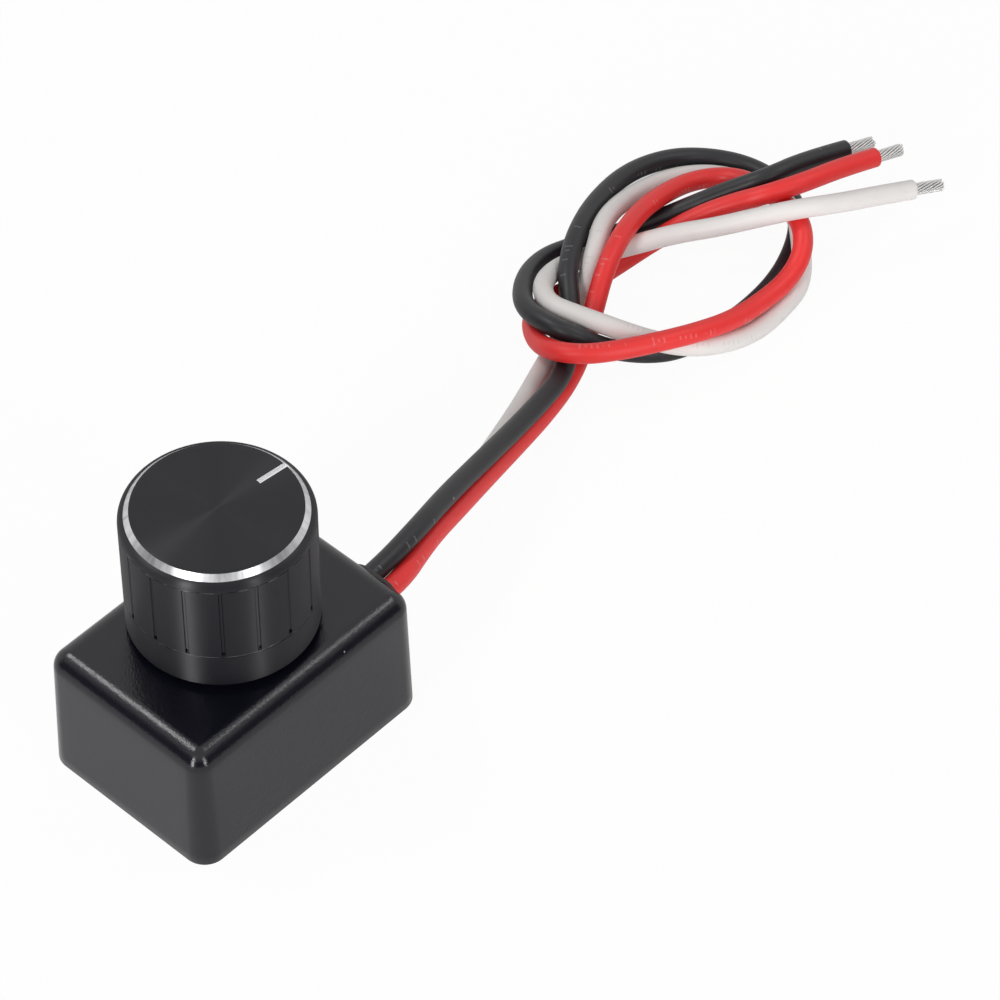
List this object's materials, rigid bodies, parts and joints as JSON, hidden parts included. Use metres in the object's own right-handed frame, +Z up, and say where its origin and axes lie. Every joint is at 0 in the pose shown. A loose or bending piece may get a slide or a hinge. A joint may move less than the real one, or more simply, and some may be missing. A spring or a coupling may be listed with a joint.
{
  "type": "rotary dimmer",
  "caption": "Small inline dimmer: a drafted black box with a fluted turning knob on top and soft wires, loosely knotted, leaving one short end.",
  "frame": {"origin": "middle of the box's base, on the surface it stands on", "axes": "+Z up along the knob's axis, +X along the box towards the end where the wires leave, +Y across the box"},
  "size_m": [0.1259, 0.0358, 0.0325],
  "materials": {
    "housing_plastic": "satin moulded black",
    "knob_metal": "black anodised, with bright cut edges",
    "core_plastic": "moulded",
    "shaft_metal": "turned",
    "spring_steel": "spring temper",
    "bushing_metal": "nickel plated",
    "can_steel": "zinc plated",
    "phenolic": "pressed laminate",
    "carbon_track": "printed",
    "tinned_metal": "tinned copper",
    "contact_metal": "sprung bronze",
    "board_laminate": "solder mask",
    "chip_plastic": "moulded epoxy",
    "capacitor_can": "sleeved can",
    "potting_resin": "cast resin",
    "seal_rubber": "soft silicone",
    "black_silicone": "soft satin silicone",
    "white_silicone": "soft satin silicone",
    "red_silicone": "soft satin silicone"
  },
  "bodies": {
    "box": {"housing": "housing_plastic", "control_bushing": "bushing_metal", "control_can": "can_steel", "control_base": "phenolic", "resistive_track": "carbon_track", "control_pin_1": "tinned_metal", "control_pin_2": "tinned_metal", "control_pin_3": "tinned_metal", "lock_washer": "can_steel", "hex_nut": "can_steel", "circuit_board": "board_laminate", "power_transistor": "chip_plastic", "control_chip": "chip_plastic", "electrolytic_capacitor": "capacitor_can", "diode": "chip_plastic", "resistor_1": "chip_plastic", "resistor_2": "chip_plastic", "resistor_3": "chip_plastic", "resistor_4": "chip_plastic", "black_lead": "tinned_metal", "white_lead": "tinned_metal", "red_lead": "tinned_metal", "solder_joints": "tinned_metal", "potting_compound": "potting_resin", "outlet_seal": "seal_rubber", "black_wire": "black_silicone", "black_conductor": "tinned_metal", "white_wire": "white_silicone", "white_conductor": "tinned_metal", "red_wire": "red_silicone", "red_conductor": "tinned_metal"},
    "knob": {"knob_shell": "knob_metal", "knob_core": "core_plastic", "control_shaft": "shaft_metal", "retaining_ring": "spring_steel", "control_rotor": "core_plastic", "wiper": "contact_metal"}
  },
  "joints": [
    {"name": "knob_turn", "type": "hinge", "parent": "box", "child": "knob", "pos_m": [0.0003, 0.0012, 0.0245], "axis": [0, 0, 1], "range_deg": [-140, 140]}
  ]
}
